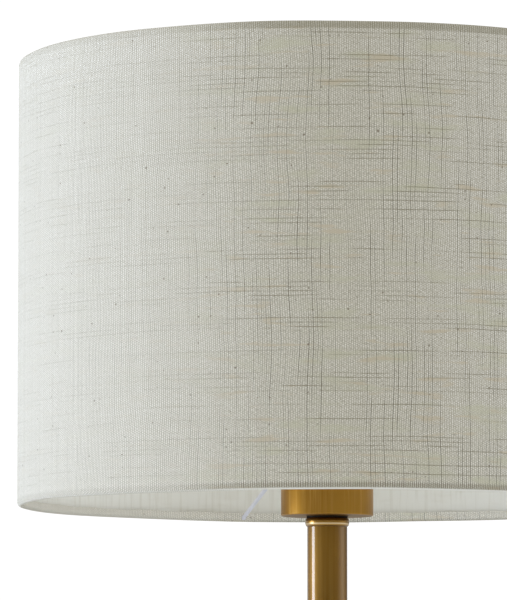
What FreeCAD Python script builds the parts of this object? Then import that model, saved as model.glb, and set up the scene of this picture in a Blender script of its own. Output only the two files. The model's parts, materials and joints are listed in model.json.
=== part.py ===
"""A brass tripod table lamp with a linen drum shade, in millimetres.

The table is z = 0, +Z is up and the lamp's axis is the Z axis. The front of the lamp faces -Y.
Heights are stacked upward from the hub; legs and tips are hung downward from it.
"""

import FreeCAD, Part

import math
import os

# ---- Tripod ---------------------------------------------------------------------------
leg_count = 3
leg_splay = 30.0            # degrees between a leg and the vertical
first_leg_angle = 90.0      # degrees from +X; this leg points to the back
leg_radius = 6.0
leg_wall = 1.0
leg_fit = 0.05              # radial, leg in its sleeve and in its tip
sleeve_wall = 2.6
sleeve_depth = 26.0         # from the bottom of the leg's bore to the sleeve's mouth
sleeve_root = 2.0           # how far a sleeve runs on into the hub past the bore
leg_circle_radius = 17.0    # centre of a leg's upper end, from the lamp's axis
leg_seat_height = 7.0       # the same point, above the hub's underside
tip_length = 22.0
tip_wall = 1.8
tip_sole = 2.0              # rubber under the lowest edge of the leg
grub_radius = 2.0
grub_hole_clearance = 0.05
grub_setback = 6.0          # grub screw's axis, from the sleeve's mouth
grub_gap = 0.1              # point of the grub screw to the leg

# ---- Hub ------------------------------------------------------------------------------
hub_underside = 205.0       # above the table
hub_radius = 24.0
hub_height = 35.0
hub_chamfer = 1.5
hub_web = 12.0              # solid metal above the nut chamber
chamber_radius = 10.0
plug_thickness = 3.0
plug_fit = 0.05
cord_bore_radius = 3.5
bushing_wall = 1.0
bushing_flange_width = 1.5
bushing_flange_thickness = 1.2
bushing_length = 5.0        # barrel above the flange

# ---- Stem and lamp pipe ---------------------------------------------------------------
stem_radius = 11.45
stem_wall = 1.2
stem_length = 154.4
spigot_length = 8.0         # boss of the hub and spigot of the collar, inside the stem
spigot_fit = 0.05
bead_height = 4.6
bead_overhang = 1.2         # past the stem
bead_flatness = 0.6         # how deep the bead's rounding is for its height
bead_steps = 6
neck_height = 1.5
neck_overhang = 0.25        # past the stem
pipe_radius = 4.85
pipe_bore_radius = 3.3
pipe_clearance = 0.25       # radial, in plain holes
thread_clearance = 0.05     # radial, where the pipe is screwed in
pipe_below_nut = 4.0
washer_radius = 8.8
washer_thickness = 1.2
nut_flats = 14.0
nut_height = 4.8

# ---- Socket cup -----------------------------------------------------------------------
cup_radius = 26.5
cup_wall = 1.2
cup_floor = 1.5
cup_height = 22.0
cup_bevel = 0.9

# ---- Screw socket ---------------------------------------------------------------------
base_above_nut = 0.4
base_bushing_radius = 8.0
base_bushing_drop = 3.6     # how far the bushing stands out under the base
base_bushing_flange = 2.0
base_bushing_flange_thickness = 1.4
bushing_grub_radius = 1.5
body_radius = 19.0
body_wall = 3.0
body_height = 42.5          # underside of the base to the seat of the shade's fitter
base_plate = 2.0
base_spigot = 1.0
part_gap = 0.05             # between moulded socket pieces
seat_flange_radius = 20.2
seat_flange_thickness = 3.0
screw_neck_radius = 16.2
screw_neck_height = 14.5
shell_radius = 13.4         # inside
shell_thickness = 0.35
shell_floor_height = 27.0   # above the base's underside
shell_below_rim = 1.0
partition = 2.0
insulator_thickness = 1.0
contact_width = 6.0
contact_thickness = 0.4
contact_reach = 5.0
contact_hole_radius = 1.6
rivet_radius = 1.3
rivet_head_thickness = 0.6
terminal_height = 8.0       # terminal screws, above the base's underside
terminal_radius = 1.7
terminal_head_radius = 3.5
terminal_head_thickness = 2.0
terminal_plate_width = 7.0
terminal_plate_thickness = 0.8
terminal_plate_inset = 14.6     # inner face, from the lamp's axis
terminal_plate_top = 12.3       # above the base's underside
terminal_plate_rise = 3.5       # lower edge, above the same
base_screw_circle = 13.6
base_screw_angle = 50.0
base_screw_radius = 1.3
base_screw_head_radius = 2.4
base_screw_head_thickness = 1.4
base_screw_length = 9.0
post_radius = 2.7
post_top = 13.0             # above the base's underside

# ---- Turn switch ----------------------------------------------------------------------
shaft_height = 18.0         # above the base's underside
shaft_radius = 1.6
shaft_running_fit = 0.06
shaft_inner_end = 3.0       # past the lamp's axis
cam_radius = 5.2
cam_flats = 8.4
cam_length = 6.0
cam_fit = 0.03
leaf_gap = 0.3
leaf_thickness = 0.4
leaf_width = 5.0
leaf_overlap = 5.0          # past the shaft
shaft_bushing_radius = 3.4
shaft_bushing_inside = 0.8
shaft_bushing_flange_radius = 4.8
shaft_bushing_flange_thickness = 1.6
knob_gap = 0.5
knob_stem_radius = 3.6
knob_stem_length = 4.0
knob_radius = 6.0
knob_length = 12.0
knob_flutes = 10
knob_flute_radius = 0.9
knob_cap = 1.5              # plastic past the shaft's end
knob_chamfer = 0.8

# ---- Shade ----------------------------------------------------------------------------
shade_radius = 177.8        # a 14 in drum
shade_height = 256.0        # a 10 in drum with its rolled hems
fabric_thickness = 0.6
liner_thickness = 0.5
laminate_gap = 0.1
ring_wire_radius = 1.2
ring_wire_sides = 8         # flats that stand for its round section
ring_wire_gap = 0.3         # to the liner and to the hem
hem_height = 5.0
fold_steps = 4              # flats on the roll over each rim
arm_count = 3
first_arm_angle = 106.9     # degrees from +X; this arm is the one that shows
arm_radius = 1.2
weld_gap = 0.1
slit_clearance = 0.3
fitter_height = 49.6        # middle of the fitter ring, above the bottom rim
fitter_thickness = 1.5
fitter_width = 4.0
fitter_clearance = 0.4      # radial, on the socket's screw neck
seat_gap = 0.3              # under and over the fitter ring
ring_nut_radius = 20.2
ring_nut_height = 8.0
ring_nut_flutes = 14
ring_nut_flute_radius = 1.6
ring_nut_fit = 0.15

# ---- Bulb -----------------------------------------------------------------------------
bulb_radius = 30.0
bulb_seam_angle = 20.0      # degrees below the globe's equator
bulb_glass = 1.2
bulb_collar_wall = 1.6
bulb_collar_radius = 13.6   # at its lower edge
bulb_cap_radius = 13.05
bulb_cap_wall = 0.5
bulb_cap_length = 21.0
bulb_insulator_height = 3.8
bulb_insulator_radius = 11.0
bulb_tip_radius = 4.6
bulb_tip_height = 1.2
bulb_joint_gap = 0.05
contact_gap = 0.3

# ---- Heights worked out from the sizes above -------------------------------------------
UP = FreeCAD.Vector(0, 0, 1)
FRONT = FreeCAD.Vector(0, -1, 0)
SIDE = FreeCAD.Vector(1, 0, 0)

hub_top = hub_underside + hub_height
chamber_top = hub_top - hub_web
stem_top = hub_top + stem_length
bead_top = stem_top + bead_height
cup_bottom = bead_top + neck_height
upper_washer = cup_bottom + cup_floor
upper_nut = upper_washer + washer_thickness
lower_washer = chamber_top - washer_thickness
lower_nut = lower_washer - nut_height
base_bushing_bottom = upper_nut + nut_height + base_above_nut
socket_bottom = base_bushing_bottom + base_bushing_drop
seat_top = socket_bottom + body_height
neck_top = seat_top + screw_neck_height
shell_floor = socket_bottom + shell_floor_height
insulator_top = shell_floor + insulator_thickness
fitter_bottom = seat_top + seat_gap
fitter_middle = fitter_bottom + fitter_thickness / 2
ring_nut_bottom = fitter_bottom + fitter_thickness + seat_gap
shade_bottom = fitter_middle - fitter_height
shade_top = shade_bottom + shade_height
contact_top = insulator_top + 2 * contact_thickness + contact_reach / 2
bulb_bottom = contact_top + contact_gap
bulb_insulator_bottom = bulb_bottom + bulb_tip_height
bulb_cap_bottom = bulb_insulator_bottom + bulb_insulator_height
bulb_cap_top = bulb_cap_bottom + bulb_cap_length
bulb_seam_radius = bulb_radius * math.cos(math.radians(bulb_seam_angle))
bulb_collar_length = (bulb_seam_radius - bulb_collar_radius) / math.tan(math.radians(bulb_seam_angle))
bulb_seam = bulb_cap_top + bulb_collar_length
bulb_centre = bulb_seam + bulb_radius * math.sin(math.radians(bulb_seam_angle))
shaft_level = socket_bottom + shaft_height

# The hem wraps the skin round the liner's edge and the ring wire.
hem_depth = 2 * (fabric_thickness + ring_wire_gap + ring_wire_radius) + laminate_gap + liner_thickness
fold_radius = hem_depth / 2
fold_circle = shade_radius - fold_radius
hem_inner_radius = shade_radius - hem_depth
liner_outer_radius = shade_radius - fabric_thickness - laminate_gap
wire_circle = liner_outer_radius - liner_thickness - ring_wire_gap - ring_wire_radius
fitter_inner_radius = screw_neck_radius + fitter_clearance
fitter_outer_radius = fitter_inner_radius + fitter_width


def tube(outer, inner, bottom, top):
    """A plain ring or tube on the lamp's axis."""
    body = Part.makeCylinder(outer, top - bottom, UP * bottom)
    return body.cut(Part.makeCylinder(inner, top - bottom, UP * bottom))


def turned(points):
    """A solid turned on the lamp's axis from its (radius, height) corners."""
    corners = [FreeCAD.Vector(r, 0, z) for r, z in points]
    outline = Part.makePolygon(corners + corners[:1])
    return Part.Face(outline).revolve(FreeCAD.Vector(), UP, 360)


def round_points(radius, height, wide, tall, start, end, steps):
    """(radius, height) points on an ellipse's arc from a start angle to an end angle, in degrees."""
    turns = [math.radians(start + (end - start) * i / steps) for i in range(steps + 1)]
    return [(radius + wide * math.cos(a), height + tall * math.sin(a)) for a in turns]


def arc(start, through, end):
    """A circular edge through three (radius, height) points."""
    return Part.Arc(*(FreeCAD.Vector(r, 0, z) for r, z in (start, through, end))).toShape()


def line(start, end):
    """A straight edge between two (radius, height) points."""
    return Part.makeLine(*(FreeCAD.Vector(r, 0, z) for r, z in (start, end)))


def turned_edges(edges):
    """A solid turned on the lamp's axis from edges that close in order."""
    return Part.Face(Part.Wire(edges)).revolve(FreeCAD.Vector(), UP, 360)


def at_angle(radius, angle, height):
    """A point given by its radius, its angle from +X and its height."""
    turn = math.radians(angle)
    return FreeCAD.Vector(radius * math.cos(turn), radius * math.sin(turn), height)


def rod(start, end, radius):
    """A round bar between two points."""
    return Part.makeCylinder(radius, (end - start).Length, start, end - start)


def hexagon(flats, bottom, height):
    """A six-sided bar on the lamp's axis."""
    corner = flats / 2 / math.cos(math.radians(30))
    points = [at_angle(corner, 60 * i, bottom) for i in range(7)]
    return Part.Face(Part.makePolygon(points)).extrude(UP * height)


def fluted(body, start, axis, length, radius, count, flute_radius):
    """Cuts half-round flutes along a round bar."""
    across = SIDE if abs(axis.dot(SIDE)) < 0.5 else UP
    for i in range(count):
        turn = FreeCAD.Rotation(axis, 360 / count * i)
        edge = start + turn.multVec(across) * radius
        body = body.cut(Part.makeCylinder(flute_radius, length, edge, axis))
    return body


def save(name, *solids):
    """Writes one sub-part; several solids share a file where fasteners repeat."""
    shape = solids[0] if len(solids) == 1 else Part.makeCompound(list(solids))
    if not shape.isValid():
        raise ValueError(name + " isn't a valid shape")
    shape.exportStep("parts/" + name + ".step")
    box = shape.BoundBox
    print(f"{name:16s} {box.XLength:7.2f} {box.YLength:7.2f} {box.ZLength:7.2f}  z {box.ZMin:7.2f}")


# ---- Legs -----------------------------------------------------------------------------
leg_angles = [first_leg_angle + 360 / leg_count * i for i in range(leg_count)]
leg_seat = hub_underside + leg_seat_height
leg_end_height = tip_sole + leg_radius * math.sin(math.radians(leg_splay))
leg_length = (leg_seat - leg_end_height) / math.cos(math.radians(leg_splay))


def leg_direction(angle):
    """Down and outward along a leg."""
    slope = math.radians(leg_splay)
    return at_angle(math.sin(slope), angle, -math.cos(slope))


def on_leg(angle, along):
    """A point on a leg's centre line, measured down from the leg's upper end."""
    return at_angle(leg_circle_radius, angle, leg_seat) + leg_direction(angle) * along


def make_leg(angle):
    """A straight tube from the hub to the rubber tip."""
    top, end = on_leg(angle, 0), on_leg(angle, leg_length)
    return rod(top, end, leg_radius).cut(rod(top, end, leg_radius - leg_wall))


def make_tip(angle):
    """A rubber boot over a leg's end, cut flat where it stands on the table."""
    way = leg_direction(angle)
    mouth, end = on_leg(angle, leg_length - tip_length), on_leg(angle, leg_length)
    boot = Part.makeCylinder(leg_radius + leg_fit + tip_wall, 2 * tip_length, mouth, way)
    boot = boot.cut(rod(mouth, end, leg_radius + leg_fit))
    reach = 2 * tip_length
    corner = at_angle(mouth.Length, angle, 0) - FreeCAD.Vector(reach, reach, reach)
    return boot.cut(Part.makeBox(2 * reach, 2 * reach, reach, corner))


def grub_ends(angle):
    """Where a leg's grub screw starts, at the leg, and ends, at the sleeve's outside."""
    slope = math.radians(leg_splay)
    inward = at_angle(-math.cos(slope), angle, -math.sin(slope))
    centre = on_leg(angle, sleeve_depth - grub_setback)
    outside = leg_radius + leg_fit + sleeve_wall
    return centre + inward * (leg_radius + grub_gap), centre + inward * outside


# ---- Hub ------------------------------------------------------------------------------
def make_hub():
    """A turned drum with three angled sleeves, a nut chamber below and a boss for the stem."""
    c = hub_chamfer
    body = turned([
        (0, hub_underside), (hub_radius - c, hub_underside), (hub_radius, hub_underside + c),
        (hub_radius, hub_top - c), (hub_radius - c, hub_top),
        (stem_radius - stem_wall - spigot_fit, hub_top),
        (stem_radius - stem_wall - spigot_fit, hub_top + spigot_length), (0, hub_top + spigot_length),
    ])
    sleeve_radius = leg_radius + leg_fit + sleeve_wall
    for angle in leg_angles:
        body = body.fuse(rod(on_leg(angle, -sleeve_root), on_leg(angle, sleeve_depth), sleeve_radius))
    for angle in leg_angles:
        body = body.cut(rod(on_leg(angle, 0), on_leg(angle, sleeve_depth), leg_radius + leg_fit))
        inner, outer = grub_ends(angle)
        body = body.cut(rod(inner, outer + (outer - inner), grub_radius + grub_hole_clearance))
    body = body.cut(Part.makeCylinder(chamber_radius, chamber_top - hub_underside, UP * hub_underside))
    body = body.cut(Part.makeCylinder(pipe_radius + pipe_clearance, hub_height * 2, UP * hub_underside))
    return body.removeSplitter()


def make_cord_bushing():
    """The flanged bushing that the cord comes out of, under the hub."""
    barrel = cord_bore_radius + bushing_wall
    flange_bottom = hub_underside - bushing_flange_thickness
    body = tube(barrel, cord_bore_radius, flange_bottom, hub_underside + bushing_length)
    flange = tube(barrel + bushing_flange_width, cord_bore_radius, flange_bottom, hub_underside)
    return body.fuse(flange).removeSplitter()


# ---- Stem -----------------------------------------------------------------------------
def make_collar():
    """The rounded bead and the thin neck between the stem and the cup, with a spigot below."""
    neck, bore = stem_radius + neck_overhang, pipe_radius + pipe_clearance
    spigot = stem_radius - stem_wall - spigot_fit
    rounding = bead_height / 2
    centre = stem_radius + bead_overhang - rounding * bead_flatness
    bead = round_points(centre, stem_top + rounding, rounding * bead_flatness, rounding, -90, 90, bead_steps)
    return turned([(bore, stem_top - spigot_length), (spigot, stem_top - spigot_length), (spigot, stem_top)]
                  + bead + [(neck, bead_top), (neck, cup_bottom), (bore, cup_bottom)])


def make_cup():
    """The open brass cup round the socket's base, bevelled at its lower edge."""
    bore, inner = pipe_radius + pipe_clearance, cup_radius - cup_wall
    top = cup_bottom + cup_height
    return turned([
        (bore, cup_bottom), (cup_radius - cup_bevel, cup_bottom), (cup_radius, cup_bottom + cup_bevel),
        (cup_radius, top), (inner, top), (inner, cup_bottom + cup_floor), (bore, cup_bottom + cup_floor),
    ])


def make_pipe():
    """The threaded pipe that holds hub, stem, cup and socket together and carries the cord."""
    bottom = lower_nut - pipe_below_nut
    return tube(pipe_radius, pipe_bore_radius, bottom, socket_bottom + base_plate + base_spigot)


def make_pipe_nut(bottom):
    """A hexagon nut on the pipe."""
    bore = Part.makeCylinder(pipe_radius + thread_clearance, nut_height, UP * bottom)
    return hexagon(nut_flats, bottom, nut_height).cut(bore)


def make_pipe_washer(bottom):
    """A flat washer on the pipe."""
    return tube(washer_radius, pipe_radius + pipe_clearance, bottom, bottom + washer_thickness)


# ---- Socket ---------------------------------------------------------------------------
inside_radius = body_radius - body_wall
base_floor = socket_bottom + base_plate + base_spigot
base_screw_places = [base_screw_angle, base_screw_angle + 180]
terminal_sides = [1, -1]


def make_base_bushing():
    """The steel bushing in the socket's base, screwed on the pipe."""
    bore = pipe_radius + thread_clearance
    top = base_floor + base_bushing_flange_thickness
    flange = base_bushing_radius + base_bushing_flange
    body = turned([
        (bore, base_bushing_bottom), (base_bushing_radius, base_bushing_bottom),
        (base_bushing_radius, base_floor), (flange, base_floor), (flange, top), (bore, top),
    ])
    inner, outer = bushing_grub_ends()
    return body.cut(rod(inner, outer + (outer - inner), bushing_grub_radius + grub_hole_clearance))


def bushing_grub_ends():
    """Where the grub screw in the socket's bushing starts and ends; it points to the back."""
    axis_height = UP * (base_bushing_bottom + base_bushing_drop / 2)
    return axis_height - FRONT * (pipe_radius + grub_gap), axis_height - FRONT * base_bushing_radius


def make_socket_base():
    """The moulded plate that closes the socket body below."""
    bore = base_bushing_radius + part_gap
    base = turned([
        (bore, socket_bottom), (body_radius, socket_bottom), (body_radius, socket_bottom + base_plate),
        (inside_radius - part_gap, socket_bottom + base_plate), (inside_radius - part_gap, base_floor),
        (bore, base_floor),
    ])
    for angle in base_screw_places:
        foot = at_angle(base_screw_circle, angle, socket_bottom)
        base = base.cut(Part.makeCylinder(base_screw_radius + part_gap, base_plate * 2, foot))
        base = base.cut(Part.makeCylinder(base_screw_head_radius + part_gap, base_screw_head_thickness, foot))
    return base


def make_socket_body():
    """The moulded body: switch chamber below, fitter seat outside, screw neck and shell bore above."""
    bore = shell_radius + shell_thickness + part_gap
    joint = socket_bottom + base_plate
    chamber_roof = shell_floor - partition
    seat_under = seat_top - seat_flange_thickness
    slope = seat_flange_radius - body_radius
    body = turned([
        (inside_radius, joint), (body_radius, joint), (body_radius, seat_under - slope),
        (seat_flange_radius, seat_under), (seat_flange_radius, seat_top), (screw_neck_radius, seat_top),
        (screw_neck_radius, neck_top), (bore, neck_top), (bore, shell_floor),
        (contact_hole_radius, shell_floor), (contact_hole_radius, chamber_roof), (inside_radius, chamber_roof),
    ])
    for angle in base_screw_places:
        foot = at_angle(base_screw_circle, angle, base_floor + part_gap)
        post = Part.makeCylinder(post_radius, socket_bottom + post_top - foot.z, foot)
        keep = Part.makeCylinder(body_radius, body_height, UP * joint)
        body = body.fuse(post.common(keep))
        body = body.cut(Part.makeCylinder(base_screw_radius + part_gap, base_screw_length, foot))
    for side in terminal_sides:
        start = SIDE * (side * terminal_plate_inset) + UP * (socket_bottom + terminal_height)
        body = body.cut(rod(start, start + SIDE * (side * body_radius), terminal_radius + part_gap))
    start = UP * shaft_level
    body = body.cut(rod(start, start + FRONT * (2 * body_radius), shaft_bushing_radius + part_gap))
    return body.removeSplitter()


def make_base_screw(angle):
    """One of the two screws that hold the base to the body."""
    foot = at_angle(base_screw_circle, angle, socket_bottom)
    head = Part.makeCylinder(base_screw_head_radius, base_screw_head_thickness, foot)
    return head.fuse(Part.makeCylinder(base_screw_radius, base_screw_length, foot)).removeSplitter()


def make_terminal_plate(side):
    """A brass plate against the inside of the socket's wall."""
    low, high = socket_bottom + terminal_plate_rise, socket_bottom + terminal_plate_top
    near = side * terminal_plate_inset
    far = side * (terminal_plate_inset + terminal_plate_thickness)
    corner = FreeCAD.Vector(min(near, far), -terminal_plate_width / 2, low)
    plate = Part.makeBox(terminal_plate_thickness, terminal_plate_width, high - low, corner)
    start = UP * (socket_bottom + terminal_height)
    return plate.cut(rod(start, start + SIDE * (side * body_radius), terminal_radius + part_gap))


def make_terminal_screw(side):
    """A binding screw: its head stands outside the body, inside the cup."""
    way, level = SIDE * side, UP * (socket_bottom + terminal_height)
    shank = rod(level + way * terminal_plate_inset, level + way * (body_radius + part_gap), terminal_radius)
    head_start = level + way * (body_radius + part_gap)
    head = rod(head_start, head_start + way * terminal_head_thickness, terminal_head_radius)
    return shank.fuse(head).removeSplitter()


def make_shell():
    """The thin metal shell that the bulb screws into."""
    return tube(shell_radius + shell_thickness, shell_radius, insulator_top, neck_top - shell_below_rim)


def make_insulator():
    """The fibre disc under the shell."""
    return tube(shell_radius + shell_thickness, contact_hole_radius, shell_floor, insulator_top)


def make_centre_contact():
    """A bent brass tongue on a rivet, pressed up against the bulb's tip."""
    t, r, top = contact_thickness, contact_reach, insulator_top
    rise = contact_top - top
    outline = [(-r, top), (0, top), (r, top + rise - t), (r, top + rise), (0, top + t), (-r, top + t)]
    corners = [FreeCAD.Vector(x, -contact_width / 2, z) for x, z in outline]
    tongue = Part.Face(Part.makePolygon(corners + corners[:1])).extrude(FRONT * -contact_width)
    foot = shell_floor - partition - rivet_head_thickness
    shank = Part.makeCylinder(rivet_radius, top + t - foot, UP * foot)
    head = Part.makeCylinder(contact_hole_radius + rivet_radius, rivet_head_thickness, UP * foot)
    return tongue.fuse(shank).fuse(head).removeSplitter()


def make_ring_nut():
    """The plastic nut over the fitter ring, fluted for the fingers."""
    inner = screw_neck_radius + ring_nut_fit
    nut = tube(ring_nut_radius, inner, ring_nut_bottom, ring_nut_bottom + ring_nut_height)
    start = UP * (ring_nut_bottom + fitter_thickness)
    return fluted(nut, start, UP, ring_nut_height, ring_nut_radius + ring_nut_flute_radius / 2,
                  ring_nut_flutes, ring_nut_flute_radius)


# ---- Turn switch ----------------------------------------------------------------------
shaft_start = UP * shaft_level
knob_start = body_radius + part_gap + shaft_bushing_flange_thickness + knob_gap
knob_end = knob_start + knob_stem_length + knob_length


def on_shaft(along):
    """A point on the switch shaft, measured from the lamp's axis to the front."""
    return shaft_start + FRONT * along


def make_switch_shaft():
    """The brass shaft from the cam to the knob."""
    return rod(on_shaft(-shaft_inner_end), on_shaft(knob_end - knob_cap), shaft_radius)


def make_switch_cam():
    """A square cam with rounded corners on the shaft's inner end."""
    half = cam_flats / 2
    corner = on_shaft(cam_length - shaft_inner_end) - SIDE * half - UP * half
    cam = Part.makeBox(cam_flats, cam_length, cam_flats, corner)
    cam = cam.common(rod(on_shaft(-shaft_inner_end), on_shaft(cam_length - shaft_inner_end), cam_radius))
    return cam.cut(rod(on_shaft(-shaft_inner_end), on_shaft(cam_length), shaft_radius + cam_fit))


def make_contact_leaf():
    """The switch's spring leaf, from the left terminal plate to just under the cam."""
    top = shaft_level - cam_radius - leaf_gap
    middle = on_shaft(cam_length / 2 - shaft_inner_end).y
    corner = FreeCAD.Vector(-terminal_plate_inset, middle - leaf_width / 2, top - leaf_thickness)
    return Part.makeBox(terminal_plate_inset + leaf_overlap, leaf_width, leaf_thickness, corner)


def make_shaft_bushing():
    """The flanged bearing of the shaft in the socket's wall."""
    barrel_end = body_radius + part_gap
    barrel = rod(on_shaft(inside_radius - shaft_bushing_inside), on_shaft(barrel_end), shaft_bushing_radius)
    flange_end = barrel_end + shaft_bushing_flange_thickness
    flange = rod(on_shaft(barrel_end), on_shaft(flange_end), shaft_bushing_flange_radius)
    return barrel.fuse(flange).cut(rod(on_shaft(0), on_shaft(knob_end), shaft_radius + shaft_running_fit))


def make_knob():
    """The fluted knob with its narrower stem."""
    head_start = knob_start + knob_stem_length
    head = rod(on_shaft(head_start), on_shaft(knob_end), knob_radius)
    rims = [e for e in head.Edges if e.Length > knob_radius * 6]
    head = head.makeChamfer(knob_chamfer, rims)
    head = fluted(head, on_shaft(head_start), FRONT, knob_length, knob_radius, knob_flutes, knob_flute_radius)
    knob = head.fuse(rod(on_shaft(knob_start), on_shaft(head_start), knob_stem_radius))
    return knob.cut(rod(on_shaft(0), on_shaft(knob_end - knob_cap), shaft_radius + cam_fit)).removeSplitter()


# ---- Shade ----------------------------------------------------------------------------
arm_angles = [first_arm_angle + 360 / arm_count * i for i in range(arm_count)]


def arm_line(angle):
    """The centre line of a fitter arm, from the ring wire's centre to the fitter ring's edge."""
    outer = at_angle(wire_circle, angle, shade_bottom + fold_radius)
    return outer, at_angle(fitter_outer_radius, angle, fitter_middle)


def make_arm(angle):
    """A straight wire welded between the bottom ring and the fitter ring."""
    outer, inner = arm_line(angle)
    way = (inner - outer).normalize()
    rise_of_end = arm_radius * way.z
    return rod(outer + way * (ring_wire_radius + weld_gap), inner - way * (rise_of_end + weld_gap), arm_radius)


def make_shade_cover():
    """The linen: one skin outside, rolled over both rims and turned up inside as a hem."""
    t, fold, low, high = fabric_thickness, fold_radius, shade_bottom, shade_top
    inn, mid = hem_inner_radius, fold_circle
    outside = round_points(mid, low + fold, fold, fold, 0, -180, fold_steps)
    outside += [(inn, low + hem_height), (inn + t, low + hem_height)]
    outside += round_points(mid, low + fold, fold - t, fold - t, -180, 0, fold_steps)
    inside = round_points(mid, high - fold, fold - t, fold - t, 0, 180, fold_steps)
    inside += [(inn + t, high - hem_height), (inn, high - hem_height)]
    inside += round_points(mid, high - fold, fold, fold, 180, 0, fold_steps)
    cover = turned(outside + inside)
    for angle in arm_angles:
        outer, inner = arm_line(angle)
        way = (inner - outer).normalize()
        cover = cover.cut(rod(outer, outer + way * (hem_depth + arm_radius), arm_radius + slit_clearance))
    return cover


def make_ring_wire(height):
    """A wire ring inside a rim."""
    r, last_side = ring_wire_radius, ring_wire_sides - 1
    return turned(round_points(wire_circle, height, r, r, 0, 360 * last_side / ring_wire_sides, last_side))


def make_liner():
    """The stiff sheet that the linen is laminated on, from wire to wire."""
    outer = liner_outer_radius
    return tube(outer, outer - liner_thickness, shade_bottom + fold_radius, shade_top - fold_radius)


# ---- Bulb -----------------------------------------------------------------------------
def make_bulb_globe():
    """The frosted globe, a hollow ball cut off at the seam."""
    turn = math.radians(bulb_seam_angle)
    inner = bulb_radius - bulb_glass
    low_out = (bulb_radius * math.cos(turn), bulb_centre - bulb_radius * math.sin(turn))
    low_in = (inner * math.cos(turn), bulb_centre - inner * math.sin(turn))
    profile = [
        arc(low_out, (bulb_radius * math.cos(turn), bulb_centre + bulb_radius * math.sin(turn)),
            (0, bulb_centre + bulb_radius)),
        line((0, bulb_centre + bulb_radius), (0, bulb_centre + inner)),
        arc((0, bulb_centre + inner), (inner * math.cos(turn), bulb_centre + inner * math.sin(turn)), low_in),
        line(low_in, low_out),
    ]
    return turned_edges(profile)


def make_bulb_collar():
    """The tapered collar between the screw cap and the globe."""
    slope = math.radians(bulb_seam_angle)
    normal_r, normal_z = math.cos(slope), -math.sin(slope)
    top_r, top_z = bulb_seam_radius, bulb_seam - bulb_joint_gap
    wall = bulb_collar_wall
    return turned([
        (bulb_collar_radius, bulb_cap_top + bulb_joint_gap), (top_r, top_z),
        (top_r - wall * normal_r, top_z - wall * normal_z),
        (bulb_collar_radius - wall * normal_r, bulb_cap_top + bulb_joint_gap),
    ])


def make_bulb_cap():
    """The metal screw cap, open below for the insulator."""
    r, t = bulb_cap_radius, bulb_cap_wall
    return turned([
        (bulb_insulator_radius, bulb_cap_bottom), (r - t, bulb_cap_bottom), (r, bulb_cap_bottom + t),
        (r, bulb_cap_top), (r - t, bulb_cap_top), (r - t, bulb_cap_bottom + t),
        (bulb_insulator_radius, bulb_cap_bottom + t),
    ])


def make_bulb_insulator():
    """The black cone between the cap and the tip contact."""
    return turned([
        (0, bulb_insulator_bottom), (bulb_tip_radius + bulb_tip_height, bulb_insulator_bottom),
        (bulb_insulator_radius - bulb_joint_gap, bulb_cap_bottom),
        (bulb_insulator_radius - bulb_joint_gap, bulb_cap_bottom + bulb_cap_wall), (0, bulb_cap_bottom),
    ])


def make_bulb_tip():
    """The contact at the bottom of the bulb."""
    return Part.makeCone(bulb_tip_radius - bulb_tip_height, bulb_tip_radius, bulb_tip_height, UP * bulb_bottom)


# ---- Everything is written out --------------------------------------------------------
os.makedirs("parts", exist_ok=True)

save("hub", make_hub())
for number, angle in enumerate(leg_angles, 1):
    save(f"leg_{number}", make_leg(angle))
    save(f"foot_tip_{number}", make_tip(angle))
save("leg_grub_screws", *(rod(*grub_ends(angle), grub_radius) for angle in leg_angles))
save("hub_plug", tube(chamber_radius - plug_fit, cord_bore_radius + bushing_wall + plug_fit,
                      hub_underside, hub_underside + plug_thickness))
save("cord_bushing", make_cord_bushing())
save("stem_tube", tube(stem_radius, stem_radius - stem_wall, hub_top, stem_top))
save("stem_collar", make_collar())
save("lamp_pipe", make_pipe())
save("pipe_nuts", make_pipe_nut(lower_nut), make_pipe_nut(upper_nut))
save("pipe_washers", make_pipe_washer(lower_washer), make_pipe_washer(upper_washer))
save("socket_cup", make_cup())

save("base_bushing", make_base_bushing())
save("bushing_grub", rod(*bushing_grub_ends(), bushing_grub_radius))
save("socket_base", make_socket_base())
save("socket_body", make_socket_body())
save("base_screws", *(make_base_screw(angle) for angle in base_screw_places))
save("terminal_plates", *(make_terminal_plate(side) for side in terminal_sides))
save("terminal_screws", *(make_terminal_screw(side) for side in terminal_sides))
save("screw_shell", make_shell())
save("shell_insulator", make_insulator())
save("centre_contact", make_centre_contact())
save("contact_leaf", make_contact_leaf())
save("shaft_bushing", make_shaft_bushing())
save("switch_shaft", make_switch_shaft())
save("switch_cam", make_switch_cam())
save("turn_knob", make_knob())
save("ring_nut", make_ring_nut())

save("shade_cover", make_shade_cover())
save("shade_liner", make_liner())
save("bottom_ring", make_ring_wire(shade_bottom + fold_radius))
save("top_ring", make_ring_wire(shade_top - fold_radius))
save("fitter_ring", tube(fitter_outer_radius, fitter_inner_radius, fitter_bottom,
                         fitter_bottom + fitter_thickness))
for number, angle in enumerate(arm_angles, 1):
    save(f"fitter_arm_{number}", make_arm(angle))

save("bulb_globe", make_bulb_globe())
save("bulb_collar", make_bulb_collar())
save("bulb_cap", make_bulb_cap())
save("bulb_insulator", make_bulb_insulator())
save("bulb_tip", make_bulb_tip())

print(f"overall height {shade_top:.1f}, shade's bottom rim at {shade_bottom:.2f}")
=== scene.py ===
# %% [markdown]
# # A brass tripod table lamp with a linen drum shade
# The lamp was built as solids first. This file loads those solids as a fixed frame and dresses
# them: it turns smoother pieces over the plain ones, gives every piece a finish, and sets up
# a small photo studio round the lamp. Lengths are in metres, the table is z = 0, and the
# front of the lamp faces -Y.

# %% Loading the lamp's frame
import json
import math

import bmesh
import bpy
from mathutils import Matrix, Vector, noise


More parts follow.
